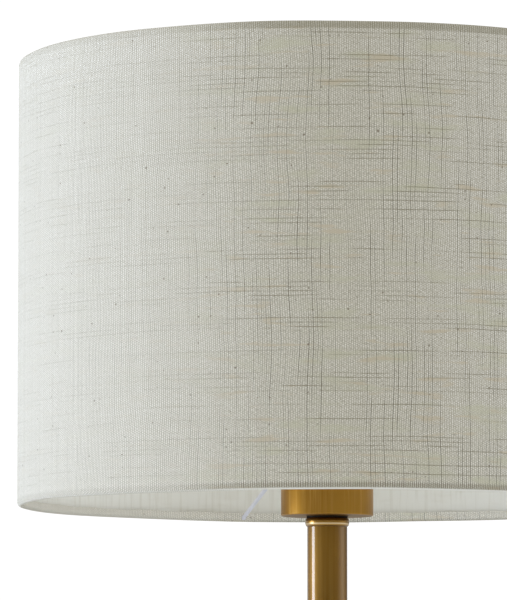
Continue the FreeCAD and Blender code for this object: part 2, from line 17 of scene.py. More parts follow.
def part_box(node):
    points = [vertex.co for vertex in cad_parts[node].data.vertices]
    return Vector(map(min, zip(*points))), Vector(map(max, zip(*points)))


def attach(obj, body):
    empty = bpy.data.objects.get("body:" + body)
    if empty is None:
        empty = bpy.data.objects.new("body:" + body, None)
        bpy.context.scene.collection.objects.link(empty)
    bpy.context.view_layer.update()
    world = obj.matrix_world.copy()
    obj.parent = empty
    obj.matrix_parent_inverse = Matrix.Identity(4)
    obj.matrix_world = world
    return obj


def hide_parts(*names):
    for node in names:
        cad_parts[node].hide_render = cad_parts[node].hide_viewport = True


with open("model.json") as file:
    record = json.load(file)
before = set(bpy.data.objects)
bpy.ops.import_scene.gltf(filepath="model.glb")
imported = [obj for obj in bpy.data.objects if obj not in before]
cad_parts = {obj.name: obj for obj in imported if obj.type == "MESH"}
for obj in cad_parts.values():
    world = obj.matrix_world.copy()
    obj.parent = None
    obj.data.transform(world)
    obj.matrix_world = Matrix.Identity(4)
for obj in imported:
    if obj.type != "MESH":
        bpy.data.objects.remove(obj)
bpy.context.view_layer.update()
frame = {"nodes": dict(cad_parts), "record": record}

slot_of = {p["node"]: p["material_slot"] for p in frame["record"]["subparts"]}
mm = 0.001
print("pieces in the frame:", len(frame["nodes"]))

# %% [markdown]
# ## The camera
# The photograph was taken from a long way off with a long lens, a little below the shade, so
# the shade's rims show as thin, slightly bowed ellipses. A camera three metres away repeats
# that, and it looks up by about five degrees. The lens was worked out from the shade's edges:
# the drum's sides lean by a few pixels over their height, which gives the tilt, and the two
# rims bow by different amounts, which gives the camera's height.

# %% Placing the camera
shade_low, shade_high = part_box("shade_cover")
camera_away, camera_below_shade = 3.0, 159.8 * mm
look_right, look_up = math.radians(-0.808), math.radians(5.314)
camera_data = bpy.data.cameras.new("photo_camera")
camera_data.lens = 313.73
camera_data.clip_start, camera_data.clip_end = 0.1, 60.0
camera = bpy.data.objects.new("photo_camera", camera_data)
bpy.context.scene.collection.objects.link(camera)
bpy.context.scene.camera = camera
camera.location = (0.0, -camera_away, shade_low.z - camera_below_shade)
level = math.cos(look_up)
sight = Vector((math.sin(look_right) * level, math.cos(look_right) * level, math.sin(look_up)))
camera.rotation_mode = "QUATERNION"
camera.rotation_quaternion = sight.to_track_quat("-Z", "Y")
print("camera at", [round(v, 4) for v in camera.location])

# %% [markdown]
# ## Turning pieces on a lathe
# Nearly everything on this lamp is round, and a real workshop would turn or spin it. Here a
# few points of a profile are spun round the Z axis in the same way. The full spin merges its
# last step with its first, doubles at the poles are removed, and the normals are recalculated,
# because a spin can turn a shape inside out. Sharp edges get a small bevel, as every
# real edge has one, and without it metal never shows a bright rim.

# %% Helpers that turn and bevel
def lathe(profile, steps=96, ring=True):
    """Turns (radius, height) points round Z; a ring's profile closes on itself."""
    bm = bmesh.new()
    corners = [bm.verts.new((r, 0.0, z)) for r, z in profile]
    following = corners[1:] + corners[:1] if ring else corners[1:]
    sides = [bm.edges.new(pair) for pair in zip(corners, following)]
    bmesh.ops.spin(bm, geom=corners + sides, axis=(0, 0, 1), angle=2 * math.pi, steps=steps, use_merge=True)
    bmesh.ops.remove_doubles(bm, verts=bm.verts, dist=1e-6)
    bmesh.ops.recalc_face_normals(bm, faces=bm.faces)
    return bm


def soften(bm, width, turn=35, segments=2):
    """Bevels every edge where the surface turns by more than an angle."""
    sharp = [e for e in bm.edges if len(e.link_faces) == 2 and e.calc_face_angle(0) > math.radians(turn)]
    bmesh.ops.bevel(bm, geom=sharp, offset=width, offset_type="OFFSET", segments=segments, profile=0.5,
                    affect="EDGES", clamp_overlap=True, material=-1)
    return bm


print("steps in a full turn:", lathe.__defaults__[0])

# %% [markdown]
# ## A map for the grain
# Brush marks and threads follow the surface they are on, so turned pieces get a UV map. It is
# the piece unrolled: u is the way round in metres at a chosen radius, and v is the height. Each
# face is unrolled from its own first corner, so the face at the back, where the angle
# jumps from one side of the circle to the other, isn't smeared over the whole map.

# %% Helper that unrolls a turned piece
def wrap_round(bm, radius):
    """Gives a turned piece a UV map in metres: u goes round at that radius, v goes up."""
    uv = bm.loops.layers.uv.new("UVMap")
    bm.verts.index_update()
    bearing = [math.atan2(v.co.y, v.co.x) for v in bm.verts]
    for face in bm.faces:
        facing = bearing[face.verts[0].index]
        for loop in face.loops:
            turn = (bearing[loop.vert.index] - facing + math.pi) % (2 * math.pi) - math.pi
            loop[uv].uv = (radius * (facing + turn), loop.vert.co.z)
    return bm


print("the shade unrolls to", round(2 * math.pi * shade_high.x, 3), "m")

# %% [markdown]
# ## Putting a piece on the lamp
# A finished shape becomes an object at the origin, with its place in its mesh, and moves with
# one body of the lamp. It stands for the plain solids that it covers. Shading is smooth except at
# edges that turn by more than a set angle. A weighted-normal modifier lets the big faces
# decide the shading, so that a narrow bevel doesn't bend the light on the flat beside it.

# %% Helper that fits a piece
def fit(bm, name, body, finish, *nodes, smooth=36):
    """Makes the piece, rides it on its body, and lets it stand for the plain solids."""
    mesh = bpy.data.meshes.new(name)
    bm.to_mesh(mesh)
    bm.free()
    mesh.shade_smooth()
    mesh.set_sharp_from_angle(angle=math.radians(smooth))
    mesh.materials.append(finish)
    piece = bpy.data.objects.new(name, mesh)
    flatter = piece.modifiers.new("big_faces_first", "WEIGHTED_NORMAL")
    flatter.mode, flatter.keep_sharp = "FACE_AREA", True
    bpy.context.scene.collection.objects.link(piece)
    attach(piece, body)
    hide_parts(*nodes)
    print(name, "faces:", len(mesh.polygons))
    return piece


# %% [markdown]
# ## Copying a solid, and leaning a piece
# Some pieces have flats, flutes or cross holes, which a lathe can't give. Their solids have the
# right shape, so a copy is merged, its flat faces are joined, and its edges are bevelled. Legs,
# wires and screws are turned upright on the Z axis, where that is easy, and then stood
# between two points.

# %% Helpers that copy and lean
def smoothed_copy(node, edge=0.2 * mm, segments=2):
    """A merged copy of a solid's triangles, flat faces joined and edges bevelled."""
    bm = bmesh.new()
    bm.from_mesh(frame["nodes"][node].data)
    bmesh.ops.remove_doubles(bm, verts=bm.verts, dist=2e-6)
    bmesh.ops.dissolve_limit(bm, angle_limit=math.radians(1), verts=bm.verts, edges=bm.edges)
    return soften(bm, edge, segments=segments)


def stand_between(bm, start, end):
    """Turns a piece made on the Z axis so that it stands on start and points at end."""
    start, end = Vector(start), Vector(end)
    turn = (end - start).to_track_quat("Z", "Y").to_matrix().to_4x4()
    bmesh.ops.transform(bm, matrix=Matrix.Translation(start) @ turn, verts=bm.verts)
    return bm


print("solids that can be copied:", len(frame["nodes"]))

# %% [markdown]
# ## A small box of shader tools
# Each finish is a Principled shader with a few nodes in front of it. Two short helpers keep
# the recipes readable: one makes the material, and the other adds a node and fills its
# sockets. A value that is the same all over a surface is set on the shader itself.

# %% Helpers that add nodes
def new_finish(name, colour, roughness, **shader):
    """A material with a Principled shader; returns the material and its shader node."""
    finish = bpy.data.materials.new(name)
    finish.use_nodes = True
    bsdf = finish.node_tree.nodes["Principled BSDF"]
    bsdf.inputs["Base Color"].default_value = (*colour, 1.0)
    bsdf.inputs["Roughness"].default_value = roughness
    for socket, value in shader.items():
        bsdf.inputs[socket.replace("_", " ")].default_value = value
    return finish, bsdf


def add(finish, kind, out=0, props=None, **sockets):
    """Adds a node, fills sockets by name or by number (_0, _1) and returns an output."""
    node = finish.node_tree.nodes.new("ShaderNode" + kind)
    for key, value in (props or {}).items():
        setattr(node, key, value)
    for key, value in sockets.items():
        socket = node.inputs[int(key[1:]) if key[0] == "_" else key.replace("_", " ")]
        if isinstance(value, bpy.types.NodeSocket):
            finish.node_tree.links.new(value, socket)
        else:
            socket.default_value = value
    return node.outputs[out]


print("materials so far:", len(bpy.data.materials))

# %% [markdown]
# ## Sums and plugs
# Patterns are numbers, so most of a recipe is arithmetic: a Math node does one sum, and a chain of
# them multiplies several values. The result is then plugged into the shader by its socket's name.

# %% Helpers that reckon and plug in
def calc(finish, operation, *values):
    """One sum with a Math node."""
    return add(finish, "Math", props={"operation": operation}, **{f"_{i}": v for i, v in enumerate(values)})


def times(finish, first, *others):
    """The product of two or more values."""
    for other in others:
        first = calc(finish, "MULTIPLY", first, other)
    return first


def link(finish, bsdf, **sockets):
    """Plugs outputs into the shader."""
    for socket, value in sockets.items():
        finish.node_tree.links.new(value, bsdf.inputs[socket.replace("_", " ")])


print("shader tools: new_finish, add, calc, times, link")

# %% [markdown]
# ## Patterns for the finishes
# A surface that is the same all over looks like a computer's. Four patterns break it up: a
# smooth step from one range to another, noise that is stretched as the material's grain is, a
# mix of two colours, and a bump that raises the surface by a depth in metres.

# %% Helpers that mix patterns
def between(finish, value, low, high, to_low=0.0, to_high=1.0):
    """Maps a value smoothly from one range to another."""
    return add(finish, "MapRange", props={"interpolation_type": "SMOOTHSTEP"}, _0=value, _1=low, _2=high,
               _3=to_low, _4=to_high)


def blotches(finish, where, stretch, detail=2.0, roughness=0.5):
    """Noise that is stretched by a different number of waves per metre along each axis."""
    moved = add(finish, "Mapping", Vector=where, Scale=stretch)
    return add(finish, "TexNoise", Vector=moved, Scale=1.0, Detail=detail, Roughness=roughness)


def blend(finish, amount, first, second):
    """Mixes two colours, each a colour or a node's output."""
    node = finish.node_tree.nodes.new("ShaderNodeMix")
    node.data_type = "RGBA"
    for socket, value in ((node.inputs[0], amount), (node.inputs[6], first), (node.inputs[7], second)):
        if isinstance(value, bpy.types.NodeSocket):
            finish.node_tree.links.new(value, socket)
        else:
            socket.default_value = value if isinstance(value, float) else (*value, 1.0)
    return node.outputs[2]


def relief(finish, bsdf, height, depth, strength=0.5):
    """Bumps the surface by a height from 0 to 1, depth in metres."""
    link(finish, bsdf, Normal=add(finish, "Bump", Height=height, Distance=depth, Strength=strength))


print("pattern tools: between, blotches, blend, relief")

# %% [markdown]
# ## Brushed antique brass
# The stem and the cup are brass, toned brown-gold and lacquered. A drawn tube keeps faint
# lines along its length, and a turned cup has fine rings round it, as it was held against an
# abrasive belt. Both are noise, stretched a hundred times further one way than the other, which
# shifts the tone, roughens the surface and bumps it by a micron or two. Broader clouds of a
# browner tone stand for the uneven antique toning. The metal itself is fairly rough, so it
# reflects the room as soft bands, and the lacquer is a clear coat over it, which gives the thin
# sharp line. Inside and under the cup the brass is darker and has no lacquer; part of that
# darkness is painted shade.

# %% Mixing the brass
brass_tone = Vector((0.41, 0.212, 0.031))
brass_brown = Vector((0.33, 0.16, 0.02))
brass_pale = Vector((0.516, 0.296, 0.07))


def brushed_brass(name, coordinates, grain, shine, lacquer, deeper=1.0, depth=2e-6):
    """Brass with a stretched grain; shine is its range of roughness, lacquer a weight, roughness and IOR."""
    weight, gloss, index = lacquer
    finish, bsdf = new_finish(name, brass_tone, shine[0], Metallic=1.0, Coat_Weight=weight,
                              Coat_Roughness=gloss, Coat_IOR=index)
    where = add(finish, "TexCoord", out=coordinates)
    brushed = blotches(finish, where, grain, detail=3.0, roughness=0.6)
    toning = blotches(finish, where, (18, 18, 26), detail=3.0)
    colour = blend(finish, between(finish, toning, 0.35, 0.65), brass_brown * deeper, brass_tone * deeper)
    colour = blend(finish, between(finish, brushed, 0.45, 0.75, 0.0, 0.7), colour, brass_pale * deeper)
    link(finish, bsdf, Base_Color=colour, Roughness=between(finish, brushed, 0.2, 0.8, *shine))
    relief(finish, bsdf, brushed, depth)
    return finish


drawn_brass = brushed_brass("drawn_brass", "UV", (330, 5, 1), (0.49, 0.57), (1.0, 0.05, 1.6), 0.76, 1e-6)
cup_brass = brushed_brass("cup_brass", "UV", (420, 14, 1), (0.40, 0.48), (0.15, 0.12, 1.5))
# darker brass for the cup's inside and underside; its darkness is partly painted shade
dull_shaded_brass = brushed_brass("dull_shaded_brass", "Object", (400, 400, 400), (0.45, 0.55), (0.0, 0.3, 1.5), 0.5)
cast_brass = brushed_brass("cast_brass", "Object", (30, 30, 1500), (0.28, 0.38), (0.3, 0.12, 1.5))
turned_brass = brushed_brass("turned_brass", "UV", (12, 1500, 1), (0.25, 0.32), (0.5, 0.06, 1.5))
print("brass finishes:", [m.name for m in bpy.data.materials if "brass" in m.name])

# %% [markdown]
# ## The stem
# A plain tube rises from the hub. Its profile is a rectangle, the tube's wall, and only its two
# ends are bevelled. It has more steps than most pieces, because its outline is seen close by.

# %% Turning the stem
def tube_profile(node, wall):
    """The closed profile of a plain tube, from its solid's box."""
    low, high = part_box(node)
    return [(high.x - wall, low.z), (high.x, low.z), (high.x, high.z), (high.x - wall, high.z)]


stem_radius, stem_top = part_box("stem_tube")[1].x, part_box("stem_tube")[1].z
stem = soften(lathe(tube_profile("stem_tube", 1.2 * mm), steps=128), 0.15 * mm)
fit(wrap_round(stem, stem_radius), "stem", "stand", drawn_brass, "stem_tube")

# %% [markdown]
# ## The bead and its neck
# A rounded bead sits on the stem, and a thin neck above it carries the cup. The bead is what the
# eye finds first below the shade, so its profile is a true half-ellipse in a dozen steps
# and not a bevelled edge. Below it is the spigot that goes into the stem.

# %% Turning the bead and neck
collar_low, collar_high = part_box("stem_collar")
bead_deep, bead_half = 1.38 * mm, 2.6 * mm
bead_top, bead_centre = stem_top + 2 * bead_half, collar_high.x - bead_deep
neck_radius, spigot_radius, pipe_hole = stem_radius + 0.35 * mm, stem_radius - 1.25 * mm, 5.1 * mm
bead = [(bead_centre + bead_deep * math.cos(a), stem_top + bead_half + bead_half * math.sin(a))
        for a in (math.radians(-90 + 15 * i) for i in range(13))]
spigot = [(pipe_hole, collar_low.z), (spigot_radius, collar_low.z), (spigot_radius, stem_top)]
neck = [(neck_radius, bead_top), (neck_radius, collar_high.z), (pipe_hole, collar_high.z)]
collar = lathe(spigot + bead + neck, steps=128)
print("bead in mm, width and height:", round(2 * collar_high.x / mm, 1), round(2 * bead_half / mm, 1))

# %% [markdown]
# ## Painted light and shade on the bead
# A bright line just below the bead's middle is a painted highlight, where the bead turns
# down towards the pale floor. Its upper side is painted darker, as painted shade under the cup,
# and the seam under the bead is painted dark, as painted shade in the crease. All three follow
# the height on the piece's own map, so they go right round it.

# %% Painting light and shade on the bead
bead_shader = turned_brass.node_tree.nodes["Principled BSDF"]
bead_height = add(turned_brass, "SeparateXYZ", out=1, _0=add(turned_brass, "TexCoord", out="UV"))


def up_bead(low, high, to_low, to_high):
    """A step in the height above the stem's top, in millimetres."""
    return between(turned_brass, bead_height, stem_top + low * mm, stem_top + high * mm, to_low, to_high)


# painted highlight: a pale band just below the bead's middle
painted_highlight = times(turned_brass, up_bead(0.9, 1.3, 0.0, 1.0), up_bead(1.7, 2.2, 1.0, 0.0))
colour = bead_shader.inputs["Base Color"].links[0].from_socket
# painted shade: the bead's upper side darker, under the cup
colour = blend(turned_brass, up_bead(3.0, 4.4, 0.0, 0.6), colour, (0.06, 0.03, 0.004))
colour = blend(turned_brass, painted_highlight, colour, (0.74, 0.55, 0.30))
# painted shade: a dark seam between the bead and the stem
colour = blend(turned_brass, up_bead(0.2, 0.8, 0.6, 0.0), colour, (0.05, 0.02, 0.004))
link(turned_brass, bead_shader, Base_Color=colour)
print("rubbed line from 0.9 to 2.2 mm above the stem")

# %% [markdown]
# ## Patina and painted shade in the groove
# The neck between bead and cup was never polished, so it has old toning, and it also lies deep in
# shade under the cup. The faces above the bead, the bead's own top included, get a rough, nearly
# black finish of their own: partly patina, partly painted shade, because lacquered brass would
# still shine there.

# %% Darkening the groove and fitting the bead
groove_patina_and_shade, bsdf = new_finish("dark_patina_and_shade", (0.012, 0.007, 0.004), 0.7, Specular_IOR_Level=0.2)
grime = blotches(groove_patina_and_shade, add(groove_patina_and_shade, "TexCoord", out="Object"), (700, 700, 900), detail=3.0)
link(groove_patina_and_shade, bsdf, Base_Color=blend(groove_patina_and_shade, grime, (0.004, 0.002, 0.001), (0.02, 0.011, 0.005)),
     Roughness=between(groove_patina_and_shade, grime, 0.3, 0.7, 0.6, 0.85))
# faces above the bead take the dark finish: patina and painted shade
for face in collar.faces:
    face.material_index = int(face.calc_center_median().z > bead_top - 0.3 * mm)
bead_piece = fit(wrap_round(collar, stem_radius), "stem_bead", "stand", turned_brass, "stem_collar")
bead_piece.data.materials.append(groove_patina_and_shade)

# %% [markdown]
# ## The cup
# A shallow spun cup hides the lower half of the lamp holder. Its lower edge has a bevel that
# catches the light as a thin line, so two flats and a point between them draw it. Its
# underside and its inside are darker, duller brass: only its outer wall was polished, and the
# darker tone on the faces that look down is also painted shade.

# %% Turning the cup
cup_low, cup_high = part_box("socket_cup")
cup_radius, cup_wall, cup_floor = cup_high.x, 1.2 * mm, 1.5 * mm
cup_bevel, bevel_bulge = 0.9 * mm, 0.26 * mm
cup = lathe([
    (pipe_hole, cup_low.z), (cup_radius - cup_bevel, cup_low.z),
    (cup_radius - bevel_bulge, cup_low.z + bevel_bulge), (cup_radius, cup_low.z + cup_bevel),
    (cup_radius, cup_high.z), (cup_radius - cup_wall, cup_high.z),
    (cup_radius - cup_wall, cup_low.z + cup_floor), (pipe_hole, cup_low.z + cup_floor)], steps=160)
soften(cup, 0.2 * mm, turn=40)
# inside and downward faces take the darker brass, partly painted shade
for face in cup.faces:
    inside = face.calc_center_median().xy.length < cup_radius - 1.0 * mm
    face.material_index = int(inside or face.normal.z < -0.95)
cup_piece = fit(wrap_round(cup, cup_radius), "cup", "stand", cup_brass, "socket_cup")
cup_piece.data.materials.append(dull_shaded_brass)

# %% [markdown]
# ## The tripod's hub
# The photograph is cut off below the top of the stem, so the tripod follows the name of the
# lamp and lamps of this kind. A turned hub with three slanted sleeves takes three straight
# tubes. It is a copy of its solid with merged points and bevelled edges, because three sleeves
# that run into a drum are quicker to cut in solids than to model here.

# %% Dressing the hub
hub = smoothed_copy("hub", edge=0.35 * mm, segments=3)
fit(hub, "tripod_hub", "stand", cast_brass, "hub", smooth=32)

# %% [markdown]
# ## The legs
# Each leg is a straight drawn tube that leans outward from its sleeve. It is turned upright and
# mapped before it is leant, so its brush marks follow the tube and not the floor.

# %% Turning the legs
leg_angles = [math.radians(90 + 120 * i) for i in range(3)]
leg_splay, leg_radius, leg_wall = math.radians(30), 6.0 * mm, 1.0 * mm
leg_head_out, leg_head_height, leg_foot_height = 17.0 * mm, 212.0 * mm, 5.0 * mm
leg_length = (leg_head_height - leg_foot_height) / math.cos(leg_splay)


def on_leg(angle, along):
    """A point on a leg's centre line, measured down from its upper end."""
    out, down = leg_head_out + along * math.sin(leg_splay), along * math.cos(leg_splay)
    return Vector((out * math.cos(angle), out * math.sin(angle), leg_head_height - down))


for number, angle in enumerate(leg_angles, 1):
    leg = lathe([(leg_radius - leg_wall, 0), (leg_radius, 0), (leg_radius, leg_length),
                 (leg_radius - leg_wall, leg_length)], steps=64)
    wrap_round(soften(leg, 0.15 * mm), leg_radius)
    stand_between(leg, on_leg(angle, leg_length), on_leg(angle, 0))
    fit(leg, f"leg_tube_{number}", "stand", drawn_brass, f"leg_{number}")

# %% [markdown]
# ## Rubber
# The tips are black rubber, dull with a faint bloom of dust and a fine moulded grain. The
# grain is a small-scale noise that bumps the surface, and a broad one varies the roughness.

# %% Mixing the rubber
rubber, bsdf = new_finish("black_rubber", (0.018, 0.018, 0.018), 0.7)
where = add(rubber, "TexCoord", out="Object")
dust = blotches(rubber, where, (60, 60, 60), detail=4.0)
dusty = blend(rubber, between(rubber, dust, 0.35, 0.8), (0.014, 0.014, 0.014), (0.045, 0.043, 0.04))
link(rubber, bsdf, Base_Color=dusty, Roughness=between(rubber, dust, 0.3, 0.7, 0.6, 0.82))
relief(rubber, bsdf, blotches(rubber, where, (2500, 2500, 2500)), 2e-5)
print("rubber:", rubber.name)

# %% [markdown]
# ## The rubber tips
# A tip is a thick cap pushed over the end of a leg, with three grip grooves and a rounded
# mouth. It is turned longer than it is, leant with its leg, and then cut off level with the
# table, as the real tip is moulded flat to stand on.

# %% Turning the tips
tip_length, tip_outer, tip_bore = 22.0 * mm, 7.85 * mm, 6.05 * mm
groove_deep, mouth = 0.35 * mm, 0.8 * mm
tip_profile = [(0, -tip_length), (tip_outer, -tip_length)]
for groove in (8 * mm, 11 * mm, 14 * mm):
    tip_profile += [(tip_outer, groove), (tip_outer - groove_deep, groove + 0.4 * mm),
                    (tip_outer - groove_deep, groove + 1.2 * mm), (tip_outer, groove + 1.6 * mm)]
tip_profile += [(tip_outer, tip_length - mouth), (tip_outer - 0.25 * mm, tip_length - 0.2 * mm),
                (tip_outer - mouth, tip_length), (tip_bore, tip_length), (tip_bore, 0), (0, 0)]
for number, angle in enumerate(leg_angles, 1):
    tip = lathe(tip_profile, steps=64, ring=False)
    stand_between(tip, on_leg(angle, leg_length), on_leg(angle, 0))
    cut = bmesh.ops.bisect_plane(tip, geom=tip.verts[:] + tip.edges[:] + tip.faces[:], plane_co=(0, 0, 0),
                                 plane_no=(0, 0, -1), clear_outer=True)
    bmesh.ops.edgeloop_fill(tip, edges=[e for e in cut["geom_cut"] if isinstance(e, bmesh.types.BMEdge)])
    bmesh.ops.recalc_face_normals(tip, faces=tip.faces)
    fit(tip, f"rubber_tip_{number}", "stand", rubber, f"foot_tip_{number}", smooth=40)

# %% [markdown]
# ## Steel, bare brass and moulded plastic
# The small parts inside the cup hardly show, but each has its own finish. Zinc plate is a pale
# grey with a faint yellow cast and a crystalline variation. The contacts are bare, bright brass.
# The lamp holder is black moulded plastic: satin, with a slight orange-peel from the mould. One
# recipe with a few numbers makes all of these, because they differ only in colour, gloss and
# the scale of their grain.

# %% Mixing the small parts' finishes
def mottled(name, colour, other, roughness, grain, depth, **shader):
    """A finish that drifts between two colours and has a fine grain."""
    finish, bsdf = new_finish(name, colour, roughness, **shader)
    where = add(finish, "TexCoord", out="Object")
    drift = blotches(finish, where, (90, 90, 90), detail=3.0)
    fine = blotches(finish, where, (grain, grain, grain), detail=2.0)
    link(finish, bsdf, Base_Color=blend(finish, between(finish, drift, 0.3, 0.7), colour, other),
         Roughness=between(finish, fine, 0.25, 0.75, roughness * 0.85, roughness * 1.2))
    relief(finish, bsdf, fine, depth)
    return finish


zinc = mottled("zinc_plate", (0.52, 0.51, 0.44), (0.44, 0.43, 0.36), 0.34, 900, 4e-6, Metallic=1.0)
bare_brass = mottled("bare_brass", (0.70, 0.47, 0.17), (0.62, 0.40, 0.13), 0.24, 1500, 3e-6, Metallic=1.0)
cap_metal = mottled("nickel_cap", (0.60, 0.59, 0.56), (0.52, 0.51, 0.48), 0.28, 1200, 3e-6, Metallic=1.0)
black_plastic = mottled("black_plastic", (0.012, 0.012, 0.013), (0.018, 0.018, 0.018), 0.38, 1400, 1.2e-5)
grey_plastic = mottled("grey_plastic", (0.22, 0.22, 0.22), (0.19, 0.19, 0.19), 0.45, 1400, 1e-5)
white_plastic = mottled("white_plastic", (0.78, 0.775, 0.75), (0.74, 0.735, 0.70), 0.33, 1400, 6e-6)
red_fibre = mottled("red_fibre", (0.105, 0.03, 0.02), (0.08, 0.022, 0.015), 0.7, 2200, 1.5e-5)
powder_white = mottled("powder_white", (0.70, 0.69, 0.76), (0.66, 0.65, 0.71), 0.42, 1600, 1.2e-5)
finish_of = {"plated_steel": zinc, "bare_brass": bare_brass, "cap_metal": cap_metal,
             "black_plastic": black_plastic, "grey_plastic": grey_plastic, "white_plastic": white_plastic,
             "fibre": red_fibre, "white_wire": powder_white, "rubber": rubber, "satin_brass": cast_brass}
print("small parts' finishes:", len(finish_of))

# %% [markdown]
# ## The lamp holder, its switch and its nut
# These pieces have flats, flutes and cross holes, which a lathe can't give. Their solids already
# have the right shape, so each is copied, merged and given small bevels that catch the light.

# %% Dressing the lamp holder, knob and nut
for node, body, name, edge in (
        ("socket_body", "stand", "holder_body", 0.25), ("socket_base", "stand", "holder_base", 0.2),
        ("ring_nut", "stand", "shade_nut", 0.25), ("turn_knob", "switch", "switch_knob", 0.2),
        ("shaft_bushing", "stand", "knob_bearing", 0.12), ("pipe_nuts", "stand", "lock_nuts", 0.2),
        ("pipe_washers", "stand", "flat_washers", 0.12), ("base_bushing", "stand", "holder_bushing", 0.15),
        ("cord_bushing", "stand", "cord_outlet", 0.2), ("hub_plug", "stand", "hub_cover_disc", 0.15),
        ("fitter_ring", "shade", "fitter_washer", 0.25), ("switch_cam", "switch", "square_cam", 0.2)):
    fit(smoothed_copy(node, edge=edge * mm), name, body, finish_of[slot_of[node]], node)

# %% [markdown]
# ## Screw threads
# A thread is a wavy line spun round the axis while it climbs: one turn lifts it by exactly one
# wave, so the end of the spin meets its start. The spin operator takes that climb as a small step
# per segment. The extra wave above and below is then cut off square. The bulb's cap and the
# shell it goes into are made this way.

# %% Spinning the shell's thread
def threaded(low, high, middle, depth, pitch, steps=72, samples=10):
    """A round thread between two heights, open at both ends."""
    bm = bmesh.new()
    corners = []
    for i in range(int((high - low) / pitch * samples) + 2 * samples + 1):
        height = low - pitch + pitch * i / samples
        corners.append(bm.verts.new((middle + depth / 2 * math.cos(2 * math.pi * i / samples), 0, height)))
    wave = [bm.edges.new(pair) for pair in zip(corners, corners[1:])]
    bmesh.ops.spin(bm, geom=corners + wave, axis=(0, 0, 1), dvec=(0, 0, pitch / steps), angle=2 * math.pi,
                   steps=steps)
    for height, way in ((low, -1), (high, 1)):
        bmesh.ops.bisect_plane(bm, geom=bm.verts[:] + bm.edges[:] + bm.faces[:], plane_co=(0, 0, height),
                               plane_no=(0, 0, way), clear_outer=True)
    bmesh.ops.remove_doubles(bm, verts=bm.verts, dist=1e-5)
    return bm


thread_pitch = 3.6 * mm
shell_low, shell_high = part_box("screw_shell")
shell = threaded(shell_low.z, shell_high.z, shell_high.x - 0.12 * mm, 0.24 * mm, thread_pitch)
bmesh.ops.recalc_face_normals(shell, faces=shell.faces)
bmesh.ops.solidify(shell, geom=shell.faces[:], thickness=0.2 * mm)
fit(shell, "holder_shell", "stand", bare_brass, "screw_shell", smooth=50)

# %% [markdown]
# ## Grub screws with a hex recess
# Each leg is held by a small screw with a hexagon recess. A circle is extruded to a pin, a
# hexagon is drawn on its far end and bridged to the pin's rim, and the hexagon is pushed in and
# closed. A cutter would do it too, but bridging keeps the mesh whole and clean.

# %% Making a grub screw
hexagon_share, hexagon_deep = 0.58, 1.6 * mm


def grub_screw(start, end, radius):
    """A pin from start to end with a hexagon recess in its far end."""
    long = (Vector(end) - Vector(start)).length
    bm = bmesh.new()
    bmesh.ops.create_circle(bm, segments=24, radius=radius, cap_ends=True)
    wall = bmesh.ops.extrude_edge_only(bm, edges=bm.edges[:])["geom"]
    top = [v for v in wall if isinstance(v, bmesh.types.BMVert)]
    bmesh.ops.translate(bm, verts=top, vec=(0, 0, long))
    rim = [e for e in bm.edges if e.is_boundary and e.verts[0].co.z > long / 2]
    recess = bmesh.ops.create_circle(bm, segments=6, radius=radius * hexagon_share)["verts"]
    bmesh.ops.translate(bm, verts=recess, vec=(0, 0, long))
    hexagon = [e for e in bm.edges if e.verts[0] in recess and e.verts[1] in recess]
    bmesh.ops.bridge_loops(bm, edges=rim + hexagon)
    sunk = bmesh.ops.extrude_edge_only(bm, edges=hexagon)["geom"]
    bottom = [v for v in sunk if isinstance(v, bmesh.types.BMVert)]
    bmesh.ops.translate(bm, verts=bottom, vec=(0, 0, -min(long * 0.6, hexagon_deep)))
    bmesh.ops.edgeloop_fill(bm, edges=[e for e in sunk if isinstance(e, bmesh.types.BMEdge)])
    bmesh.ops.recalc_face_normals(bm, faces=bm.faces)
    return stand_between(bm, start, end)


print("hexagon recess in mm deep, at most:", hexagon_deep / mm)

# %% [markdown]
# ## The legs' screws and the holder's screw
# The three leg screws are one piece, as they are one node in the solids. Each is made in its place,
# square to its leg and pointing at the tube, and is then put into one shape with the others. A
# fourth, smaller screw clamps the holder's bushing on the lamp pipe.

# %% Placing the grub screws
def put_in(bm, other):
    """Moves another shape into this one, through a mesh that is then thrown away."""
    carrier = bpy.data.meshes.new("carrier")
    other.to_mesh(carrier)
    other.free()
    bm.from_mesh(carrier)
    bpy.data.meshes.remove(carrier)


grub_radius, grub_down, grub_point, grub_head = 2.0 * mm, 20 * mm, 6.1 * mm, 8.65 * mm
leg_grubs = bmesh.new()
for angle in leg_angles:
    inward = Vector((-math.cos(leg_splay) * math.cos(angle), -math.cos(leg_splay) * math.sin(angle),
                     -math.sin(leg_splay)))
    centre = on_leg(angle, grub_down)
    put_in(leg_grubs, grub_screw(centre + inward * grub_point, centre + inward * grub_head, grub_radius))
fit(leg_grubs, "leg_screws", "stand", zinc, "leg_grub_screws")

low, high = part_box("bushing_grub")
grub_level = (low.z + high.z) / 2
holder_grub = grub_screw((0, low.y, grub_level), (0, high.y, grub_level), 1.5 * mm)
fit(holder_grub, "holder_grub", "stand", zinc, "bushing_grub")

# %% [markdown]
# ## The shade's wires
# Three straight wires carry the shade from its lower ring to the washer on the lamp holder.
# They are powder-coated white, and a weld leaves a small fillet where each one meets the ring or
# the washer. A few more points on the profile flare the ends for that.

